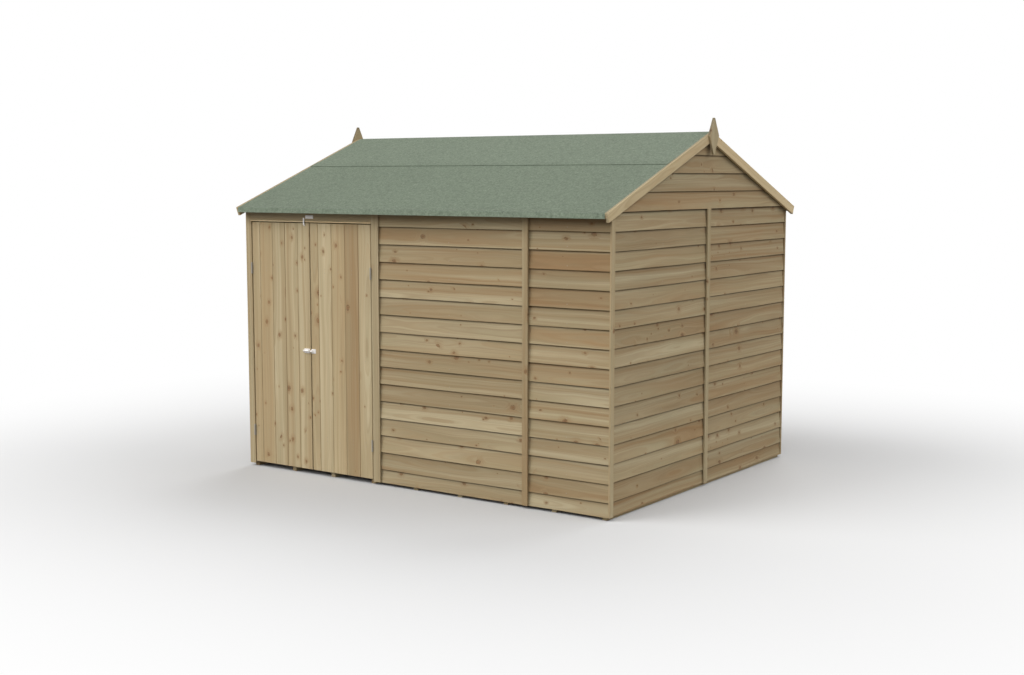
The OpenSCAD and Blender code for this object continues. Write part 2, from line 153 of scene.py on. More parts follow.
class ShedJoinery(bpy.types.PropertyGroup):
    """Sizes of the boards and of the small work on them."""

    first_edge: length("First edge", "Height of the second board's lower edge", 108 * MM)
    board_pitch: length("Board pitch", "Height from one board's lower edge to the next", 114.5 * MM)
    board_lap: length("Board lap", "How far a board is tucked under the one above it", 14 * MM)
    board_step: length("Board step", "How far a board stands in front of the one below it", 9.5 * MM)
    board_thin: length("Board thin edge", "Thickness of a board's upper edge", 4 * MM)
    board_round: length("Board rounding", "Rounding of a board's long edges", 1.2 * MM)
    board_waver: length("Board waver", "How far a board's edge strays from straight", 2.4 * MM)
    board_loops: IntProperty(name="Board loops", description="Cuts along a board", default=14, min=1)
    door_first: length("First door board", "Width of the narrow board at a leaf's left edge", 72 * MM)
    door_pitch: length("Door board pitch", "Width of the other door boards", 118.5 * MM)
    door_vee: length("Door vee", "Width of the chamfer along a door board's edges", 3.0 * MM)
    door_gap: length("Door board gap", "Half the gap between two door boards", 0.5 * MM)
    door_tongue: length("Door tongue", "How far a door board's tongue stands out", 5 * MM)
    floor_board: length("Floor board", "Width of a floor board", 98 * MM)
    floor_round: length("Floor board rounding", "Rounding of a floor board's long edges", 1 * MM)
    timber_round: length("Timber rounding", "Rounding of planed timber", 1.6 * MM)
    felt_round: length("Felt rounding", "Rounding of a felt's long edges", 0.8 * MM)
    nail_head: length("Nail head", "Diameter of a nail head in the boarding", 5 * MM)
    nail_up: length("Nail height", "Height of a nail over its board's lower edge", 24 * MM)
    nail_apart: length("Ledge nails", "Distance between two nails in a ledge", 26 * MM)
    head_bead: length("Head bead", "Height of the bead under the doorway's head", 8 * MM)
    bead_rise: length("Bead rise", "How far the bead stands out from the head", 3.5 * MM)
    bead_clear: length("Bead clearance", "Gap between the bead and the door's catch", 6 * MM)


class ShedFinish(bpy.types.PropertyGroup):
    """Colours of the wood, felt and metal."""

    sapwood: tint("Sapwood", "Cream wood", (0.505, 0.420, 0.262))
    midwood: tint("Middle wood", "Tan wood between sap and heart", (0.395, 0.300, 0.168))
    heartwood: tint("Heartwood", "Warm brown streaks", (0.325, 0.203, 0.096))
    treated: tint("Treated wood", "Greenish cast left by the preservative", (0.335, 0.300, 0.172))
    knot: tint("Knot", "Orange brown of a knot", (0.245, 0.125, 0.052))
    bark: tint("Bark", "Dark middle and rim of a knot", (0.062, 0.034, 0.018))
    felt: tint("Felt", "Mineral felt", (0.123, 0.149, 0.110))
    felt_pale: tint("Pale granules", "Pale grains in the felt", (0.206, 0.239, 0.187))
    felt_dark: tint("Dark granules", "Dark grains in the felt", (0.067, 0.084, 0.061))
    strand: tint("Strand board", "Flakes of the roof sheet", (0.470, 0.330, 0.165))
    zinc: tint("Zinc", "Bright zinc plate", (0.900, 0.865, 0.825))
    steel: tint("Steel", "Dull steel of hinges and nails", (0.380, 0.355, 0.300))


class ShedStage(bpy.types.PropertyGroup):
    """Camera and light."""

    lens: FloatProperty(name="Lens", description="Focal length", default=50.0, unit="CAMERA")
    eye: FloatVectorProperty(name="Eye", description="Where the camera stands",
                             default=(5.7491, -8.2945, 2.018), size=3, subtype="TRANSLATION")
    sensor: FloatProperty(name="Sensor", description="Width of the sensor", default=36.0, unit="CAMERA")
    dip: angle("Dip", "How far the camera looks down", 6.3625)
    bearing: angle("Bearing", "Turn of the camera from the ridge's square", 35.07)
    sky_low: brightness("Sky at the horizon", "Strength of the light from the side", 0.30)
    sky_high: brightness("Sky overhead", "Strength of the light from above", 0.0)
    __annotations__.update(lamp_properties())
    lamp_spread: angle("Lamp spread", "Width of a lamp as seen from the shed", 45)
    floor: tint("Floor", "Pale studio floor", (0.520, 0.520, 0.520))
    floor_fade: length("Floor fade", "How far from the shed the floor has faded to white", 4.0)
    bounce: tint("Floor bounce", "What the shed sees of the floor", (0.120, 0.120, 0.120))


# Shader nodes

def arithmetic(operation, reflected=False):
    """A method of Wire that adds one Math node."""
    def method(self, other):
        return self.math(operation, other, self) if reflected else self.math(operation, self, other)
    return method


class Wire:
    """A socket in a material. Arithmetic on it adds Math nodes."""

    def __init__(self, tree, socket=None):
        self.tree = tree
        self.socket = socket

    def node(self, kind, out, settings=None, sockets=None):
        """Adds a node, sets it up, feeds its sockets and returns the outputs that are asked for."""
        made = self.tree.nodes.new(kind)
        for key, value in (settings or {}).items():
            if key == "stops":
                set_stops(made.color_ramp, value)
            else:
                setattr(made, key, value)
        for key, value in (sockets or {}).items():
            self.feed(find_socket(made.inputs, key), value)
        if isinstance(out, tuple):
            return [Wire(self.tree, find_socket(made.outputs, key)) for key in out]
        return Wire(self.tree, find_socket(made.outputs, out))

    def feed(self, socket, value):
        """Links a wire to a socket, or sets the socket's own value. Colours come without alpha."""
        if isinstance(value, Wire):
            self.tree.links.new(value.socket, socket)
        elif socket.type == "RGBA":
            socket.default_value = (*value, 1.0)
        else:
            socket.default_value = value

    def math(self, operation, *values):
        return self.node("ShaderNodeMath", "Value", {"operation": operation}, dict(enumerate(values)))

    __add__ = __radd__ = arithmetic("ADD")
    __sub__ = arithmetic("SUBTRACT")
    __rsub__ = arithmetic("SUBTRACT", reflected=True)
    __mul__ = __rmul__ = arithmetic("MULTIPLY")
    __truediv__ = arithmetic("DIVIDE")
    __rtruediv__ = arithmetic("DIVIDE", reflected=True)
    __pow__ = arithmetic("POWER")
    __lt__ = arithmetic("LESS_THAN")
    most = arithmetic("MAXIMUM")

    def ease(self, start, end):
        """0 at start, 1 at end, smooth in between."""
        return self.node("ShaderNodeMapRange", "Result", {"interpolation_type": "SMOOTHSTEP"},
                         {"Value": self, "From Min": start, "From Max": end})

    def split(self):
        return self.node("ShaderNodeSeparateXYZ", ("X", "Y", "Z"), None, {"Vector": self})

    def point(self, x, y, z):
        return self.node("ShaderNodeCombineXYZ", "Vector", None, {"X": x, "Y": y, "Z": z})

    def cloud(self, where, scale, detail=2.0, roughness=0.5):
        """Soft noise around a half."""
        return self.node("ShaderNodeTexNoise", "Fac", None,
                         {"Vector": where, "Scale": scale, "Detail": detail, "Roughness": roughness})

    def blend(self, share, first, second, how="MIX"):
        """One colour over another."""
        return self.node("ShaderNodeMix", "Result_Color",
                         {"data_type": "RGBA", "blend_type": how, "clamp_factor": True},
                         {"Factor_Float": share, "A_Color": first, "B_Color": second})

    def shaded(self, colour, level):
        """A colour made lighter or darker."""
        grey = self.node("ShaderNodeCombineColor", "Color", None,
                         {"Red": level, "Green": level, "Blue": level})
        return self.blend(1.0, colour, grey, "MULTIPLY")

    def attribute(self, name, out):
        return self.node("ShaderNodeAttribute", out, {"attribute_name": name})


def find_socket(sockets, key):
    """A socket by its number, its identifier or its name."""
    if isinstance(key, int):
        return sockets[key]
    for socket in sockets:
        if key in (socket.identifier, socket.name):
            return socket
    raise KeyError(f"no socket {key}")


def set_stops(ramp, stops):
    """Gives a colour ramp its stops."""
    while len(ramp.elements) < len(stops):
        ramp.elements.new(1.0)
    for element, (place, colour) in zip(ramp.elements, stops):
        element.position = place
        element.color = (*colour, 1.0)


def start_material(name):
    """An empty material, a wire to build it with and its shader."""
    material = bpy.data.materials.new(name)
    material.use_nodes = True
    shader = material.node_tree.nodes["Principled BSDF"]
    return material, Wire(material.node_tree), shader


def finish_surface(wire, shader, colour, roughness, height, depth, strength=0.6):
    """Links colour, roughness and relief to a shader."""
    bump = wire.node("ShaderNodeBump", "Normal", None,
                     {"Strength": strength, "Distance": depth, "Height": height})
    wire.feed(shader.inputs["Base Color"], colour)
    wire.feed(shader.inputs["Roughness"], roughness)
    wire.feed(shader.inputs["Normal"], bump)


def knots_in(wire, along, across, per_metre, share, smallest, spread):
    """Masks of scattered knots: the knot, its dark parts and the wood that it warms around it."""
    face = wire.point(along * 0.72, across, 0.0)
    swirl = wire.node("ShaderNodeTexNoise", "Color", None,
                      {"Vector": face, "Scale": 5.0 * per_metre, "Detail": 2.0})
    bend = 0.09 / per_metre
    face = wire.node("ShaderNodeVectorMath", "Vector", {"operation": "MULTIPLY_ADD"},
                     {0: swirl, 1: (bend, bend, 0.0), 2: face})
    distance, chance = wire.node("ShaderNodeTexVoronoi", ("Distance", "Color"),
                                 {"voronoi_dimensions": "2D"}, {"Vector": face, "Scale": per_metre})
    here, size, hue = chance.split()
    gather = wire.cloud(face, 3.0, 1.0).ease(0.38, 0.62)
    present = here < share * (0.35 + 1.3 * gather)
    ragged = wire.cloud(face, 900.0 / per_metre, 2.0, 0.6)
    radius = smallest + spread * size * size
    reach = distance / per_metre / radius * (0.65 + 0.7 * ragged)
    knot = present * (1.0 - reach.ease(0.4, 1.2))
    rim = reach.ease(0.55, 0.85) * (1.0 - reach.ease(0.9, 1.15)) * ragged.ease(0.4, 0.62)
    core = (1.0 - reach.ease(0.1, 0.55)) * hue
    dark = present * rim.most(core)
    halo = present * (1.0 - reach.ease(0.7, 3.4))
    return knot, dark, halo


def softwood(name, finish, light, warm, green, knots, figure):
    """Treated softwood. It reads where each point lies in its own board from the grain attribute."""
    material, wire, shader = start_material(name)
    grain = wire.attribute("grain", "Vector")
    growth = wire.attribute("growth", "Vector")
    along, across, depth = grain.split()
    tone, warmth, knotty = growth.split()
    lap = wire.attribute("lap", "Fac")

    share = knots * (0.5 + 1.0 * knotty)
    knot, dark, halo = knots_in(wire, along, across, per_metre=8.0, share=share,
                                smallest=6 * MM, spread=10 * MM)
    pin, pin_dark, pin_halo = knots_in(wire, along, across, per_metre=17.0, share=0.15 * share,
                                       smallest=2.5 * MM, spread=3.5 * MM)

    # Growth rings round a pith that lies beside the board, bent aside by the knots
    sway = wire.cloud(wire.point(along * 1.1, across * 6.0, depth * 6.0), 1.0, 2.0)
    ripple = wire.cloud(wire.point(along * 5.0, across * 24.0, depth * 24.0), 1.0, 2.0)
    from_pith = (across * across + depth * depth) ** 0.5
    year = from_pith + 0.034 * sway + 0.004 * ripple + 0.007 * halo + 0.003 * pin_halo
    rings_per_metre = 230.0
    late = year.math("FRACT", year * rings_per_metre)
    late = late.ease(0.3, 0.92) * (1.0 - late.ease(0.93, 1.0))
    broad = wire.cloud(wire.point(year * 38.0, along * 0.30, tone * 9.0), 1.0, 1.0)
    streak = wire.cloud(wire.point(year * 95.0, along * 0.6, tone * 7.0), 1.0, 2.0, 0.6)
    fine = wire.cloud(wire.point(year * 260.0, along * 1.4, tone * 5.0), 1.0, 2.0, 0.6)
    fibre = wire.cloud(wire.point(along * 16.0, across * 1300.0, depth * 1300.0), 1.0, 2.0)
    stain = wire.cloud(wire.point(along * 1.6, across * 11.0, depth * 11.0), 1.0, 3.0)

    heart = 0.5 + figure * (1.5 * (broad - 0.5) + 1.1 * (streak - 0.5)) + 0.2 * (warmth - 0.5) + warm
    stops = [(0.20, finish.sapwood), (0.50, finish.midwood), (0.82, finish.heartwood)]
    colour = wire.node("ShaderNodeValToRGB", "Color", {"stops": stops}, {"Fac": heart})
    colour = wire.blend(green * stain.ease(0.42, 0.72), colour, finish.treated)
    colour = wire.blend(0.24 * late, colour, finish.heartwood)
    colour = wire.blend(0.5 * halo.most(pin_halo), colour, finish.heartwood)
    colour = wire.blend(0.75 * knot.most(pin), colour, finish.knot)
    colour = wire.blend(0.60 * dark.most(pin_dark), colour, finish.bark)
    level = light * (0.92 + 0.15 * tone + 0.36 * (fine - 0.5) + 0.14 * (fibre - 0.5))
    # Painted shade from the lap layer: a little darker towards the top of each board, a dark painted shadow
    # line right under the board above, and darker faces that look up where the layer is 1
    level = level * (1.0 - 0.10 * lap) * (1.0 - 0.5 * lap.ease(0.88, 0.99))
    colour = wire.shaded(colour, level)

    roughness = 0.74 + 0.14 * (fibre - 0.5) - 0.12 * knot
    height = 0.55 * fibre + 0.3 * late + 0.5 * knot
    finish_surface(wire, shader, colour, roughness, height, 0.5 * MM)
    shader.inputs["Specular IOR Level"].default_value = 0.25
    return material


def mineral_felt(finish):
    """Green mineral roofing felt: fine grains in three tones over soft blotches."""
    material, wire, shader = start_material("mineral_felt")
    where = wire.node("ShaderNodeTexCoord", "Object")
    grains = wire.cloud(where, 420.0, 3.0, 0.7)
    crumbs = wire.cloud(where, 80.0, 2.0, 0.6)
    blotch = wire.cloud(where, 30.0, 3.0, 0.6)
    drift = wire.cloud(where, 2.2, 2.0)
    pale = (grains + 0.35 * (crumbs - 0.5)).ease(0.52, 0.72)
    dark = 1.0 - (grains + 0.6 * (crumbs - 0.5)).ease(0.28, 0.47)
    colour = wire.blend(0.55 * pale, finish.felt, finish.felt_pale)
    colour = wire.blend(0.55 * dark, colour, finish.felt_dark)
    level = 1.0 + 0.45 * (blotch - 0.5) + 0.55 * (crumbs - 0.5) + 0.10 * (drift - 0.5)
    # Painted light on the turned-down eaves edges and painted shade along the ridge felt's edges, from the
    # lap layer
    lap = wire.attribute("lap", "Fac")
    level = level * (1.0 + 0.45 * lap)
    colour = wire.shaded(colour, level)
    roughness = 0.88 + 0.12 * (grains - 0.5)
    finish_surface(wire, shader, colour, roughness, grains + 0.6 * crumbs, 1.1 * MM)
    shader.inputs["Specular IOR Level"].default_value = 0.1
    return material


def strand_board(finish):
    """Pressed board of overlapping wood flakes."""
    material, wire, shader = start_material("strand_board")
    where = wire.node("ShaderNodeTexCoord", "Object")
    bent = wire.node("ShaderNodeMapping", "Vector", None,
                     {"Vector": where, "Rotation": (0.3, 0.2, 0.6), "Scale": (11.0, 42.0, 42.0)})
    swirl = wire.node("ShaderNodeTexNoise", "Color", None,
                      {"Vector": where, "Scale": 9.0, "Detail": 2.0})
    bent = wire.node("ShaderNodeVectorMath", "Vector", {"operation": "MULTIPLY_ADD"},
                     {0: swirl, 1: (2.6, 2.6, 2.6), 2: bent})
    edge, flake = wire.node("ShaderNodeTexVoronoi", ("Distance", "Color"), None,
                            {"Vector": bent, "Scale": 1.0})
    shade, turn, dull = flake.split()
    streak = wire.cloud(bent, 7.0, 3.0)
    colour = wire.blend(0.45 * turn, finish.strand, finish.sapwood)
    level = 0.72 + 0.42 * shade + 0.25 * (streak - 0.5)
    colour = wire.shaded(colour, level)
    finish_surface(wire, shader, colour, 0.6 + 0.25 * dull, shade - 0.3 * edge, 0.8 * MM)
    return material


def metal(name, colour, shine, roughness):
    """Plated metal with a cloudy crystal pattern and dulled patches."""
    material, wire, shader = start_material(name)
    where = wire.node("ShaderNodeTexCoord", "Object")
    crystal = wire.node("ShaderNodeTexVoronoi", "Color", None, {"Vector": where, "Scale": 380.0})
    shade, turn, dull = crystal.split()
    smear = wire.cloud(where, 90.0, 3.0)
    level = 0.96 + 0.08 * (shade - 0.5) + 0.14 * (smear - 0.5)
    colour = wire.shaded(colour, level)
    roughness = roughness + 0.10 * (dull - 0.5) + 0.20 * (smear - 0.5)
    finish_surface(wire, shader, colour, roughness, smear + 0.2 * turn, 0.1 * MM, strength=0.3)
    shader.inputs["Metallic"].default_value = shine
    return material


def studio_floor(stage):
    """Pale floor that fades to white away from the shed and throws little light back at it."""
    material, wire, shader = start_material("studio_floor")
    where = wire.node("ShaderNodeTexCoord", "Object")
    level = 1.0 + 0.012 * (wire.cloud(where, 0.4, 2.0) - 0.5)
    shade = wire.shaded(stage.floor, level)
    camera, glossy = wire.node("ShaderNodeLightPath", ("Is Camera Ray", "Is Glossy Ray"))
    seen = camera.most(glossy)
    wire.feed(shader.inputs["Base Color"], wire.blend(seen, stage.bounce, shade))
    shader.inputs["Roughness"].default_value = 0.95
    shader.inputs["Specular IOR Level"].default_value = 0.0
    along, across, _ = where.split()
    beside = (along.math("ABSOLUTE", along) - CAD_BOX[1][0]).most(0.0)
    before = (across.math("ABSOLUTE", across) - CAD_BOX[1][1]).most(0.0)
    distance = along.math("SQRT", beside * beside + before * before)
    far = seen * distance.ease(0.0, stage.floor_fade)
    white = wire.node("ShaderNodeEmission", "Emission", None, {"Color": WHITE})
    both = wire.node("ShaderNodeMixShader", "Shader", None,
                     {0: far, 1: Wire(wire.tree, shader.outputs["BSDF"]), 2: white})
    wire.feed(wire.tree.nodes["Material Output"].inputs["Surface"], both)
    return material


def wood_for(scene, use):
    """The wood of one use, made when it is first asked for."""
    name = "softwood_" + use
    found = bpy.data.materials.get(name)
    return found or softwood(name, scene.shed_finish, **WOODS[use])


def zinc_for(scene):
    """Bright zinc for the bolt and the catch."""
    found = bpy.data.materials.get("zinc_plate")
    return found or metal("zinc_plate", scene.shed_finish.zinc, shine=0.12, roughness=0.60)


def steel_for(scene):
    """Dull steel for the hinges and the nails."""
    found = bpy.data.materials.get("dull_steel")
    return found or metal("dull_steel", scene.shed_finish.steel, shine=0.15, roughness=0.60)


# Workpieces

class Workpiece:
    """A mesh in the making, to which shaped solids are added one by one."""

    def __init__(self, name):
        self.name = name
        self.chance = random.Random(name)
        self.mesh = bpy.data.meshes.new(name)
        self.bm = bmesh.new()
        self.layers(self.bm)
        # Every piece carries the lap layer of painted light and shade, left at 0 where none is painted
        self.bm.verts.layers.float.new("lap")

    def layers(self, bm):
        return [bm.verts.layers.float_vector.new(name) for name in ("grain", "growth")]

    def add(self, solid, along=ACROSS, face=BACK):
        """Joins a solid whose wood runs along one direction and shows its face to another."""
        grain, growth = self.layers(solid)
        along = along.normalized()
        face = (face - along * face.dot(along)).normalized()
        across = face.cross(along)
        middle = sum((v.co for v in solid.verts), Vector()) / len(solid.verts)
        start = Vector([self.chance.uniform(*span) for span in LOG])
        kind = Vector([self.chance.random() for _ in range(3)])
        for v in solid.verts:
            arm = v.co - middle
            v[grain] = start + Vector((arm.dot(along), arm.dot(across), arm.dot(face)))
            v[growth] = kind
        solid.to_mesh(self.mesh)
        solid.free()
        self.bm.from_mesh(self.mesh)

    def finish(self, material, body, slot, *nodes):
        """Makes the object, which rides on a body and stands for CAD nodes."""
        self.bm.to_mesh(self.mesh)
        self.bm.free()
        self.mesh.shade_smooth()
        self.mesh.set_sharp_from_angle(angle=SHARP)
        self.mesh.materials.append(material)
        made = bpy.data.objects.new(self.name, self.mesh)
        bpy.context.scene.collection.objects.link(made)
        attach(made, body)
        if nodes:
            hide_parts(*nodes)


def edges_along(bm, direction):
    """The edges that run along a direction."""
    return [e for e in bm.edges
            if abs((e.verts[1].co - e.verts[0].co).normalized().dot(direction)) > ALIKE]


def round_edges(bm, edges, size, segments=2):
    bmesh.ops.bevel(bm, geom=edges, offset=size, offset_type="OFFSET", segments=segments,
                    profile=0.5, affect="EDGES", clamp_overlap=True, material=-1)


def push(bm, faces, by):
    """Draws faces out of a solid, or sinks them into it."""
    made = bmesh.ops.extrude_face_region(bm, geom=faces)
    bmesh.ops.delete(bm, geom=faces, context="FACES_ONLY")
    moved = [v for v in made["geom"] if isinstance(v, bmesh.types.BMVert)]
    bmesh.ops.translate(bm, verts=moved, vec=by)


def saw(bm, place, normal, drop=False):
    """Cuts a solid along a plane, with or without its far side. Returns the edges of the cut."""
    cut = bmesh.ops.bisect_plane(bm, geom=bm.verts[:] + bm.edges[:] + bm.faces[:], dist=WELD,
                                 plane_co=place, plane_no=normal, clear_outer=drop)
    return [e for e in cut["geom_cut"] if isinstance(e, bmesh.types.BMEdge)]


def block(low, high):
    """A box between two corners."""
    bm = bmesh.new()
    place = Matrix.Translation((low + high) / 2) @ Matrix.Diagonal((*(high - low), 1.0))
    bmesh.ops.create_cube(bm, size=1.0, matrix=place)
    return bm


def solids_of(node):
    """Copies of a CAD node's solids, merged and with their flat faces whole."""
    whole = bmesh.new()
    whole.from_mesh(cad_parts[node].data)
    bmesh.ops.remove_doubles(whole, verts=whole.verts, dist=WELD)
    bmesh.ops.dissolve_limit(whole, angle_limit=FLAT, verts=whole.verts, edges=whole.edges)
    solids = []
    seen = set()
    whole.verts.index_update()
    whole.verts.ensure_lookup_table()
    for seed in whole.verts:
        if seed.index in seen:
            continue
        island, queue = {seed.index}, [seed]
        while queue:
            v = queue.pop()
            for other in (e.other_vert(v) for e in v.link_edges):
                if other.index not in island:
                    island.add(other.index)
                    queue.append(other)
        seen |= island
        solid = whole.copy()
        strangers = [v for v in solid.verts if v.index not in island]
        bmesh.ops.delete(solid, geom=strangers, context="VERTS")
        solids.append(solid)
    whole.free()
    return solids


def corners(bm):
    """Lowest and highest corner of a bmesh."""
    return (Vector([min(v.co[i] for v in bm.verts) for i in range(3)]),
            Vector([max(v.co[i] for v in bm.verts) for i in range(3)]))


def grain_of(bm):
    """The direction of the longest edge and that of the largest face."""
    longest = max(bm.edges, key=lambda e: e.calc_length())
    largest = max(bm.faces, key=lambda f: f.calc_area())
    return longest.verts[1].co - longest.verts[0].co, largest.normal.copy()


def planed(work, node, size, along=None):
    """Adds a CAD node's timbers with their edges rounded."""
    for solid in solids_of(node):
        solid.normal_update()
        run, face = grain_of(solid)
        round_edges(solid, solid.edges[:], size)
        work.add(solid, along or run, face)


def planed_piece(scene, name, use, node, body="shed"):
    """A finished piece of planed timber that stands for a CAD node."""
    work = Workpiece(name)
    planed(work, node, scene.shed_joinery.timber_round)
    work.finish(wood_for(scene, use), body, use, node)


def dress(node, material):
    """Gives a material to a CAD node that shows as it is."""
    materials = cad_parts[node].data.materials
    materials.clear()
    materials.append(material)


def face_normal(node):
    """The direction of a CAD node's largest face that looks up."""
    solid = solids_of(node)[0]
    solid.normal_update()
    upper = [f for f in solid.faces if f.normal.z > 0.1]
    normal = max(upper, key=lambda f: f.calc_area()).normal.copy()
    solid.free()
    return normal


class Wall:
    """A boarded slab: where its boards run, which way it looks and how thick it is."""

    def __init__(self, node):
        self.low, self.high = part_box(node)
        size = self.high - self.low
        self.thin = 0 if size.x < size.y else 1
        self.run = 1 - self.thin
        self.side = 1.0 if (self.low + self.high)[self.thin] > 0 else -1.0
        self.inner = self.low[self.thin] if self.side > 0 else self.high[self.thin]
        self.thick = size[self.thin]

    def at(self, along, out, height):
        """The point at a place along the wall, out from its inner face, at a height."""
        point = Vector((0, 0, height))
        point[self.run] = along
        point[self.thin] = self.inner + self.side * out
        return point

    def out(self):
        """The direction that the wall looks in."""
        return (ACROSS, BACK)[self.thin] * self.side

    def length_direction(self):
        return (ACROSS, BACK)[self.run]

    def courses(self, joinery):
        """The lower edge, the place of the next lower edge and the upper edge of each board."""
        edges = [self.low.z]
        height = joinery.first_edge
        while height < self.high.z - joinery.board_lap:
            if height > self.low.z + joinery.board_lap:
                edges.append(height)
            height += joinery.board_pitch
        nexts = edges[1:] + [edges[-1] + joinery.board_pitch]
        return [(low, lap, min(lap + joinery.board_lap, self.high.z)) for low, lap in zip(edges, nexts)]

    def studs(self):
        """Places along the wall where its studs stand, away from the panel's ends."""
        node = "long_wall_studs" if self.run == 0 else "side_wall_studs"
        margin = 40 * MM
        for solid in solids_of(node):
            low, high = corners(solid)
            solid.free()
            middle = (low + high) / 2
            along = middle[self.run]
            behind = middle[self.thin] * self.side > 0
            if behind and self.low[self.run] + margin < along < self.high[self.run] - margin:
                yield along


def lap_board(wall, joinery, low, lap, high, slopes=()):
    """One overlapped board, proud at its lower edge, cut by the roof's slopes where they are given."""
    clear = 0.3 * MM
    out_low = wall.thick
    in_low = out_low - joinery.board_step + clear
    out_high = out_low - joinery.board_step * (high - low) / (lap - low)
    in_high = out_high - joinery.board_thin
    bm = bmesh.new()
    bmesh.ops.create_cube(bm, size=1.0)
    for v in bm.verts:
        run, out, rise = (c + 0.5 for c in v.co)
        outer = out_low + (out_high - out_low) * rise
        inner = in_low + (in_high - in_low) * rise
        span = wall.low[wall.run] + (wall.high[wall.run] - wall.low[wall.run]) * run
        v.co = wall.at(span, inner + (outer - inner) * out, low + (high - low) * rise)
    bmesh.ops.recalc_face_normals(bm, faces=bm.faces)
    round_edges(bm, edges_along(bm, wall.length_direction()), joinery.board_round)
    for place, normal in slopes:
        rim = saw(bm, place, normal, drop=True)
        if rim:
            bmesh.ops.contextual_create(bm, geom=rim)
    bmesh.ops.subdivide_edges(bm, edges=edges_along(bm, wall.length_direction()),
                              cuts=joinery.board_loops, use_grid_fill=True)
    # Painted shade: the lap layer holds each point's height in its board, 0 at the lower edge and 1 at the
    # lap line
    painted_shade_height = bm.verts.layers.float.new("lap")
    for v in bm.verts:
        v[painted_shade_height] = (v.co.z - low) / (lap - low)
    return bm


def waver(bm, wall, amount, seed):
    """Lets a board stray a little from straight, never out of its slab."""
    waves_per_metre = 1.7
    seed_apart = 3.7
    inward = 0.6
    elsewhere = Vector((9.0, 0.0, 5.0))
    for v in bm.verts:
        place = Vector((v.co[wall.run] * waves_per_metre, seed * seed_apart, 0.0))
        v.co.z += amount * noise.noise(place)
        v.co[wall.thin] -= wall.side * inward * amount * abs(noise.noise(place + elsewhere))


def boarded(scene, name, node, slopes=()):
    """A wall panel or gable of overlapped boards."""
    joinery = scene.shed_joinery
    wall = Wall(node)
    work = Workpiece(name)
    for low, lap, high in wall.courses(joinery):
        board = lap_board(wall, joinery, low, lap, high, slopes)
        if not board.faces:
            board.free()
            continue
        waver(board, wall, joinery.board_waver, work.chance.uniform(0, 50))
        work.add(board, wall.length_direction(), wall.out())
    work.finish(wood_for(scene, "boarding"), "shed", "boarding", node)


def nail(place, out, size):
    """A round nail head that stands a little out of the wood."""
    depth = 3 * MM
    sunk = 1.2 * MM
    bm = bmesh.new()
    turn = out.to_track_quat("Z", "Y").to_matrix().to_4x4()
    bmesh.ops.create_cone(bm, cap_ends=True, segments=8, radius1=size / 2, radius2=0.4 * size,
                          depth=depth, matrix=Matrix.Translation(place - out * sunk) @ turn)
    return bm


def wall_nails(scene):
    """Nail heads in the boarding, in front of the studs."""
    joinery = scene.shed_joinery
    work = Workpiece("boarding_nails")
    for node in LONG_PANELS + SIDE_PANELS:
        wall = Wall(node)
        for along in wall.studs():
            for low, lap, _ in wall.courses(joinery):
                height = low + joinery.nail_up
                face = wall.thick - joinery.board_step * joinery.nail_up / (lap - low)
                if height < wall.high.z - joinery.nail_up:
                    work.add(nail(wall.at(along, face, height), wall.out(), joinery.nail_head))
    work.finish(steel_for(scene), "shed", "zinc")


class ShedOperator(bpy.types.Operator):
    """One step of the making of the shed."""

    bl_options = {"REGISTER", "UNDO"}


class SHED_OT_floor(ShedOperator):
    """Lay the bearers and the floor boards"""

    bl_idname = "shed.floor"
    bl_label = "Floor"

    def execute(self, context):
        scene = context.scene
        joinery = scene.shed_joinery
        planed_piece(scene, "ground_bearers", "bearers", "floor_bearers")
        low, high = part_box("floor_deck")
        count = round((high.y - low.y) / joinery.floor_board)
        width = (high.y - low.y) / count
        work = Workpiece("floor_boards")
        for i in range(count):
            front = low.y + i * width
            board = block(Vector((low.x, front, low.z)), Vector((high.x, front + width, high.z)))
            round_edges(board, edges_along(board, ACROSS), joinery.floor_round)
            work.add(board, ACROSS, UP)
        work.finish(wood_for(scene, "deck"), "shed", "deck", "floor_deck")
        return {"FINISHED"}


class SHED_OT_wall_frames(ShedOperator):
    """Plane the studs, posts and plates of the wall frames"""

    bl_idname = "shed.wall_frames"
    bl_label = "Wall frames"

    def execute(self, context):
        for node in ("long_wall_studs", "side_wall_studs", "long_wall_plates", "side_wall_plates"):
            planed_piece(context.scene, node + "_planed", "framing", node)
        return {"FINISHED"}


class SHED_OT_boarding(ShedOperator):
    """Board the wall panels with overlapped boards"""

    bl_idname = "shed.boarding"
    bl_label = "Boarding"

    def execute(self, context):
        for node in LONG_PANELS + SIDE_PANELS:
            boarded(context.scene, node + "_boards", node)
        wall_nails(context.scene)
        return {"FINISHED"}


class SHED_OT_gables(ShedOperator):
    """Board the gables and cut the boards to the roof"""

    bl_idname = "shed.gables"
    bl_label = "Gables"

    def execute(self, context):
        front = face_normal("front_roof_sheet")
        rear = face_normal("rear_roof_sheet")
        for node in GABLES:
            peak = Vector((0, 0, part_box(node)[1].z))
            boarded(context.scene, node + "_boards", node, [(peak, front), (peak, rear)])
        return {"FINISHED"}


class SHED_OT_strips(ShedOperator):
    """Fix the corner strips and the strips over the panel joints"""

    bl_idname = "shed.strips"
    bl_label = "Strips"

    def execute(self, context):
        for node in ("corner_strips", "cover_strips"):
            planed_piece(context.scene, node + "_planed", "trim", node)
        return {"FINISHED"}


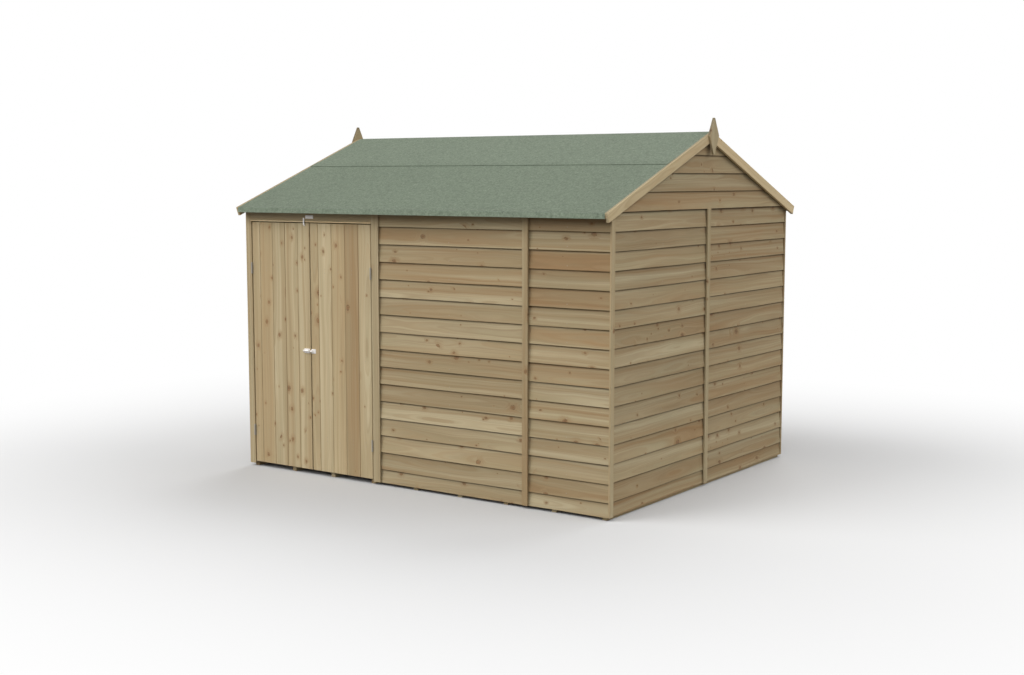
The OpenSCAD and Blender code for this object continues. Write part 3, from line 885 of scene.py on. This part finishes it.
class SHED_OT_doorway(ShedOperator):
    """Fix the facing boards and the head of the doorway"""

    bl_idname = "shed.doorway"
    bl_label = "Doorway"

    def execute(self, context):
        planed_piece(context.scene, "doorway_facings", "trim", "door_facings")
        planed_piece(context.scene, "doorway_head", "trim", "door_head")
        self.head_bead(context.scene)
        return {"FINISHED"}

    def head_bead(self, scene):
        """A chamfered bead along the head's lower edge, left out around the door's catch."""
        joinery = scene.shed_joinery
        low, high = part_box("door_head")
        catch_low, catch_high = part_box("top_catch")
        clear = joinery.bead_clear
        middle = low.y - 0.5 * joinery.bead_rise
        work = Workpiece("doorway_bead")
        for left, right in ((low.x, catch_low.x - clear), (catch_high.x + clear, high.x)):
            bead = block(Vector((left, low.y - joinery.bead_rise, low.z)),
                         Vector((right, low.y, low.z + joinery.head_bead)))
            front = [e for e in edges_along(bead, ACROSS) if e.verts[0].co.y < middle]
            round_edges(bead, front, 0.6 * joinery.bead_rise, segments=1)
            work.add(bead, ACROSS, -BACK)
        work.finish(wood_for(scene, "bead"), "shed", "trim")


class SHED_OT_roof_frame(ShedOperator):
    """Plane the rafters and battens and finish the roof sheets"""

    bl_idname = "shed.roof_frame"
    bl_label = "Roof frame"

    def execute(self, context):
        scene = context.scene
        for node in ("front_rafters", "rear_rafters", "eaves_battens"):
            planed_piece(scene, node + "_planed", "framing", node)
        board = strand_board(scene.shed_finish)
        for node in ("front_roof_sheet", "rear_roof_sheet"):
            dress(node, board)
        return {"FINISHED"}


class SHED_OT_felt(ShedOperator):
    """Lay the eaves felts and the ridge felt"""

    bl_idname = "shed.felt"
    bl_label = "Felt"

    # Painted light and shade on a felt's outer edge: how much paler the turned-down eaves edge is painted,
    # and how much darker the ridge felt's edge is painted where it laps
    turned_down_painted_light = 1.7
    lapped_painted_shade = -1.0

    def execute(self, context):
        scene = context.scene
        felt = mineral_felt(scene.shed_finish)
        for node in ("front_felt", "rear_felt", "ridge_felt"):
            work = Workpiece(node + "_sheet")
            for solid in solids_of(node):
                round_edges(solid, edges_along(solid, ACROSS), scene.shed_joinery.felt_round)
                self.paint_edge_light_and_shade(solid, self.lapped_painted_shade if node == "ridge_felt" else self.turned_down_painted_light)
                work.add(solid)
            work.finish(felt, "shed", "felt", node)
        return {"FINISHED"}

    def paint_edge_light_and_shade(self, solid, amount):
        """Paints light on a felt's outer edge by a positive amount and shade by a negative one."""
        edge = solid.verts.layers.float.new("lap")
        reach = max(abs(v.co.y) for v in solid.verts)
        for v in solid.verts:
            v[edge] = amount * (abs(v.co.y) > reach - NEAR)


class SHED_OT_barge_boards(ShedOperator):
    """Fix the barge boards and the finials"""

    bl_idname = "shed.barge_boards"
    bl_label = "Barge boards"

    def execute(self, context):
        scene = context.scene
        for node in ("front_barge_boards", "rear_barge_boards"):
            self.top_shaded_piece(scene, node + "_planed", "barge", node, limit=0.9)
        self.top_shaded_piece(scene, "gable_finials", "trim", "finials", limit=0.3, along=UP)
        return {"FINISHED"}

    def top_shaded_piece(self, scene, name, use, node, limit, along=None):
        """Planed timber with painted shade on the faces that look up more than a limit."""
        work = Workpiece(name)
        planed(work, node, scene.shed_joinery.timber_round, along)
        dark = work.bm.verts.layers.float["lap"]
        work.bm.normal_update()
        # Painted shade: the lap layer is 1 on faces that look up
        for face in work.bm.faces:
            if face.normal.z > limit:
                for v in face.verts:
                    v[dark] = 1.0
        work.finish(wood_for(scene, use), "shed", "trim", node)


def door_board(low, high, vee, tongue, groove):
    """An upright board with chamfered face edges, a tongue on one edge and a groove in the other."""
    bm = block(low, high)
    third = (high.y - low.y) / 3
    for i in (1, 2):
        saw(bm, (0, low.y + i * third, 0), BACK)
    middle = (low.y + high.y) / 2
    for side, reach in ((1.0, tongue), (-1.0, -groove)):
        edge = [f for f in bm.faces
                if f.normal.x * side > ALIKE and abs(f.calc_center_median().y - middle) < third / 2]
        if reach:
            push(bm, edge, (side * reach, 0, 0))
    bmesh.ops.recalc_face_normals(bm, faces=bm.faces)
    faces = (low.y, high.y)
    chamfered = [e for e in edges_along(bm, UP)
                 if min(abs(e.verts[0].co.y - y) for y in faces) < NEAR
                 and min(abs(e.verts[0].co.x - x) for x in (low.x, high.x)) < NEAR]
    round_edges(bm, chamfered, vee, segments=1)
    return bm


class SHED_OT_door_leaves(ShedOperator):
    """Build the door leaves: upright boards, ledges and braces"""

    bl_idname = "shed.door_leaves"
    bl_label = "Door leaves"

    def execute(self, context):
        scene = context.scene
        joinery = scene.shed_joinery
        gap = joinery.door_gap
        tongue = joinery.door_tongue
        for door in DOORS:
            low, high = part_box(door + "_boards")
            work = Workpiece(door + "_upright_boards")
            joints = [low.x]
            width = joinery.door_first
            while joints[-1] + width < high.x - joinery.door_first:
                joints.append(joints[-1] + width)
                width = joinery.door_pitch
            joints.append(high.x)
            for i, (left, right) in enumerate(zip(joints, joints[1:])):
                last = right == high.x
                board = door_board(Vector((left + gap * (i > 0), low.y, low.z)),
                                   Vector((right - gap * (not last), high.y, high.z)), joinery.door_vee,
                                   0.0 if last else tongue, 0.0 if i == 0 else tongue + gap)
                work.add(board, UP, -BACK)
            work.finish(wood_for(scene, "door_boards"), door, "door_boards", door + "_boards")
            self.nails(scene, door, [(a + b) / 2 for a, b in zip(joints, joints[1:])], low.y)
            for part in ("ledges", "braces"):
                planed_piece(scene, f"{door}_{part}_planed", "door_framing", f"{door}_{part}", door)
        return {"FINISHED"}

    def nails(self, scene, door, middles, face):
        """Two nails through each board into each ledge."""
        apart = scene.shed_joinery.nail_apart
        size = scene.shed_joinery.nail_head
        work = Workpiece(door + "_nails")
        for ledge in solids_of(door + "_ledges"):
            low, high = corners(ledge)
            ledge.free()
            for x in middles:
                for height in ((low.z + high.z - apart) / 2, (low.z + high.z + apart) / 2):
                    work.add(nail(Vector((x, face, height)), -BACK, size))
        work.finish(steel_for(scene), door, "zinc")


def plate(low, high, corner, edge):
    """A flat plate on the front of a door or head, with round corners and softened edges."""
    bm = block(low, high)
    round_edges(bm, edges_along(bm, BACK), corner, segments=4)
    front = [e for e in bm.edges if all(v.co.y < low.y + WELD for v in e.verts)]
    round_edges(bm, front, edge)
    return bm


def screw(x, y, z, radius):
    """A pan head screw with a cross recess, looking to the front."""
    rim = 0.22 * radius
    recess = 0.4 * radius
    waist = 0.4
    bm = bmesh.new()
    bmesh.ops.create_cone(bm, cap_ends=True, segments=12, radius1=radius, radius2=0.85 * radius,
                          depth=0.6 * radius, matrix=Matrix.Rotation(math.radians(15), 4, "Z"))
    top = max(bm.faces, key=lambda f: f.calc_center_median().z)
    bmesh.ops.inset_region(bm, faces=[top], thickness=rim)
    for v in top.verts:
        if abs(abs(v.co.x) - abs(v.co.y)) < 0.1 * radius:
            v.co.x *= waist
            v.co.y *= waist
    push(bm, [top], (0, 0, -recess))
    bmesh.ops.recalc_face_normals(bm, faces=bm.faces)
    bm.transform(Matrix.Translation((x, y, z)) @ Matrix.Rotation(math.radians(90), 4, "X"))
    return bm


def strap(left, right, axis, outer, thick, foot):
    """A strip bent round a bar that lies along X, with both ends standing on the plane y = foot."""
    bm = bmesh.new()
    rim = ((left, outer - thick), (right, outer - thick), (right, outer), (left, outer))
    start = bm.faces.new([bm.verts.new((x, axis.y, axis.z + rise)) for x, rise in rim])
    bmesh.ops.spin(bm, geom=[start, *start.edges, *start.verts], cent=axis, axis=ACROSS,
                   angle=math.pi, steps=12)
    bmesh.ops.recalc_face_normals(bm, faces=bm.faces)
    caps = [f for f in bm.faces
            if abs(f.normal.y) > ALIKE and abs(f.calc_center_median().y - axis.y) < NEAR]
    for cap in caps:
        push(bm, [cap], (0, foot - axis.y, 0))
    bmesh.ops.recalc_face_normals(bm, faces=bm.faces)
    return bm


def turned(outline, place, along):
    """A round bar from the radius at each distance along its axis."""
    bm = bmesh.new()
    points = [bm.verts.new((radius, 0, distance)) for distance, radius in outline]
    edges = [bm.edges.new(pair) for pair in zip(points, points[1:])]
    bmesh.ops.spin(bm, geom=points + edges, cent=(0, 0, 0), axis=UP, angle=2 * math.pi, steps=20,
                   use_merge=True)
    bmesh.ops.remove_doubles(bm, verts=bm.verts, dist=WELD)
    bmesh.ops.recalc_face_normals(bm, faces=bm.faces)
    bm.transform(Matrix.Translation(place) @ along.to_track_quat("Z", "Y").to_matrix().to_4x4())
    return bm


class SHED_OT_ironmongery(ShedOperator):
    """Make the pad bolt, its keep and the catch, and finish the hinges"""

    bl_idname = "shed.ironmongery"
    bl_label = "Ironmongery"

    plate_thick = 2 * MM
    plate_corner = 3 * MM
    plate_edge = 0.5 * MM
    strap_thick = 1.8 * MM
    guide_width = 5 * MM
    loop_width = 14 * MM
    loop_in = 1 * MM
    bolt_chamfer = 1.2 * MM
    knob_radius = 3 * MM
    knob_in = 14 * MM
    catch_plate_edge = 0.8 * MM
    catch_chamfer = 0.4 * MM
    screw_radius = 2.8 * MM

    # How far the screws stand in from the edges beside them and from those above or below
    bolt_screws = (12 * MM, 4 * MM)
    keep_screws = (7 * MM, 6 * MM)
    catch_plate_screws = 8 * MM
    catch_screw = 4 * MM

    def execute(self, context):
        zinc = zinc_for(context.scene)
        rod_low, rod_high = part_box("pad_bolt")
        radius = (rod_high.z - rod_low.z) / 2
        axis = Vector((0, rod_high.y - radius, (rod_low.z + rod_high.z) / 2))
        self.bolt_plate(axis, zinc)
        self.bolt_keep(axis, zinc)
        self.pad_bolt(axis, radius, zinc)
        self.catch(zinc)
        for node in ("frame_hinge_leaves", "left_door_hinge_leaves", "right_door_hinge_leaves"):
            dress(node, steel_for(context.scene))
        return {"FINISHED"}

    def back_plate(self, work, low, high):
        """A thin plate against the door at the back of a box. Returns the place of its front."""
        front = high.y - self.plate_thick
        work.add(plate(Vector((low.x, front, low.z)), high, self.plate_corner, self.plate_edge))
        return front

    def bolt_plate(self, axis, zinc):
        low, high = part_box("bolt_plate")
        work = Workpiece("bolt_back_plate")
        front = self.back_plate(work, low, high)
        outer = (front - low.y) / 2
        for left in (low.x, high.x - self.guide_width):
            work.add(strap(left, left + self.guide_width, axis, outer, self.strap_thick, front))
        beside, above = self.bolt_screws
        for z in (low.z + above, high.z - above):
            for x in (low.x + beside, high.x - beside):
                work.add(screw(x, front, z, self.screw_radius))
        work.finish(zinc, "left_door", "zinc", "bolt_plate")

    def bolt_keep(self, axis, zinc):
        low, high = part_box("bolt_keep")
        work = Workpiece("bolt_keep_plate")
        front = self.back_plate(work, low, high)
        left = low.x + self.loop_in
        outer = (front - low.y) / 2
        work.add(strap(left, left + self.loop_width, axis, outer, self.strap_thick, front))
        beside, above = self.keep_screws
        for z in (low.z + above, high.z - above):
            work.add(screw(high.x - beside, front, z, self.screw_radius))
        work.finish(zinc, "right_door", "zinc", "bolt_keep")

    def pad_bolt(self, axis, radius, zinc):
        low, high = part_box("pad_bolt")
        chamfer = self.bolt_chamfer
        span = high.x - low.x
        rod = [(0, 0), (0, radius - chamfer), (chamfer, radius), (span - 2 * chamfer, radius),
               (span, radius - 2 * chamfer), (span, 0)]
        reach = axis.y - low.y
        knob = self.knob_radius
        neck = 0.7 * knob
        shape = [(0, 0), (0, neck), (0.55 * reach, neck), (0.62 * reach, knob), (reach - chamfer, knob),
                 (reach, knob - chamfer), (reach, 0)]
        work = Workpiece("sliding_bolt")
        work.add(turned(rod, Vector((low.x, axis.y, axis.z)), ACROSS))
        work.add(turned(shape, Vector((low.x + self.knob_in, axis.y, axis.z)), -BACK))
        work.finish(zinc, "pad_bolt", "zinc", "pad_bolt")

    def catch(self, zinc):
        low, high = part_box("head_catch_plate")
        work = Workpiece("head_catch")
        work.add(plate(low, high, self.plate_corner, self.catch_plate_edge))
        for x in (low.x + self.catch_plate_screws, high.x - self.catch_plate_screws):
            work.add(screw(x, low.y, (low.z + high.z) / 2, self.screw_radius))
        work.finish(zinc, "shed", "zinc", "head_catch_plate")
        low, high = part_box("top_catch")
        work = Workpiece("door_catch")
        for solid in solids_of("top_catch"):
            round_edges(solid, solid.edges[:], self.catch_chamfer, segments=1)
            work.add(solid)
        work.add(screw((low.x + high.x) / 2, high.y - self.plate_thick, low.z + self.catch_screw,
                       self.screw_radius))
        work.finish(zinc, "left_door", "zinc", "top_catch")


class SHED_OT_stage(ShedOperator):
    """Set the floor, the light and the camera"""

    bl_idname = "shed.stage"
    bl_label = "Stage"

    floor_reach = 60.0
    floor_drop = 0.5 * MM

    def execute(self, context):
        scene = context.scene
        stage = scene.shed_stage
        self.lay_floor(scene, stage)
        self.light_sky(scene, stage)
        for lamp in LAMPS:
            self.hang_lamp(scene, "soft_" + lamp, getattr(stage, lamp), getattr(stage, lamp + "_turn"),
                           getattr(stage, lamp + "_rise"), stage.lamp_spread)
        self.set_camera(scene, stage)
        scene.view_settings.view_transform = "Standard"
        return {"FINISHED"}

    def lay_floor(self, scene, stage):
        bm = bmesh.new()
        bmesh.ops.create_grid(bm, x_segments=1, y_segments=1, size=self.floor_reach,
                              matrix=Matrix.Translation((0, 0, -self.floor_drop)))
        mesh = bpy.data.meshes.new("studio_floor")
        bm.to_mesh(mesh)
        bm.free()
        mesh.materials.append(studio_floor(stage))
        floor = bpy.data.objects.new("studio_floor", mesh)
        scene.collection.objects.link(floor)

    def light_sky(self, scene, stage):
        world = bpy.data.worlds.new("studio")
        world.use_nodes = True
        scene.world = world
        wire = Wire(world.node_tree)
        camera, glossy, through = wire.node(
            "ShaderNodeLightPath", ("Is Camera Ray", "Is Glossy Ray", "Is Transmission Ray"))
        seen = camera.most(glossy).most(through)
        height = wire.node("ShaderNodeTexCoord", "Generated").split()[2]
        glow = stage.sky_low + (stage.sky_high - stage.sky_low) * height.most(0.0)
        background = world.node_tree.nodes["Background"]
        wire.feed(background.inputs["Color"], WHITE)
        wire.feed(background.inputs["Strength"], glow + (1.0 - glow) * seen)

    def hang_lamp(self, scene, name, strength, turn, rise, spread):
        """A far soft lamp, turned from the front towards the left and raised over the horizon."""
        lamp = bpy.data.lights.new(name, "SUN")
        lamp.energy = strength
        lamp.angle = spread
        hung = bpy.data.objects.new(name, lamp)
        scene.collection.objects.link(hung)
        level = math.cos(rise)
        towards = Vector((-math.sin(turn) * level, -math.cos(turn) * level, math.sin(rise)))
        hung.rotation_euler = towards.to_track_quat("Z", "Y").to_euler()

    def set_camera(self, scene, stage):
        data = bpy.data.cameras.new("camera")
        data.lens = stage.lens
        data.sensor_fit = "HORIZONTAL"
        data.sensor_width = stage.sensor
        camera = bpy.data.objects.new("camera", data)
        scene.collection.objects.link(camera)
        camera.location = stage.eye
        camera.rotation_euler = (math.pi / 2 - stage.dip, 0, stage.bearing)
        scene.camera = camera


STEPS = (SHED_OT_floor, SHED_OT_wall_frames, SHED_OT_boarding, SHED_OT_gables, SHED_OT_strips,
         SHED_OT_doorway, SHED_OT_roof_frame, SHED_OT_felt, SHED_OT_barge_boards, SHED_OT_door_leaves,
         SHED_OT_ironmongery, SHED_OT_stage)
SETTINGS = {"shed_joinery": ShedJoinery, "shed_finish": ShedFinish, "shed_stage": ShedStage}


class SHED_PT_making(bpy.types.Panel):
    """Lists the steps of the making and the sizes and colours that they use"""

    bl_idname = "SHED_PT_making"
    bl_label = "Garden shed"
    bl_space_type = "VIEW_3D"
    bl_region_type = "UI"
    bl_category = "Shed"

    def draw(self, context):
        for step in STEPS:
            self.layout.operator(step.bl_idname)
        for name, group in SETTINGS.items():
            column = self.layout.box().column()
            for prop in group.__annotations__:
                column.prop(getattr(context.scene, name), prop)


CLASSES = (*SETTINGS.values(), *STEPS, SHED_PT_making)


def register():
    for cls in CLASSES:
        bpy.utils.register_class(cls)
    for name, group in SETTINGS.items():
        setattr(bpy.types.Scene, name, PointerProperty(type=group))


def unregister():
    for name in SETTINGS:
        delattr(bpy.types.Scene, name)
    for cls in reversed(CLASSES):
        bpy.utils.unregister_class(cls)


def main():
    """Runs every step in order."""
    register()
    for step in STEPS:
        family, name = step.bl_idname.split(".")
        getattr(getattr(bpy.ops, family), name)()


if __name__ == "__main__":
    main()
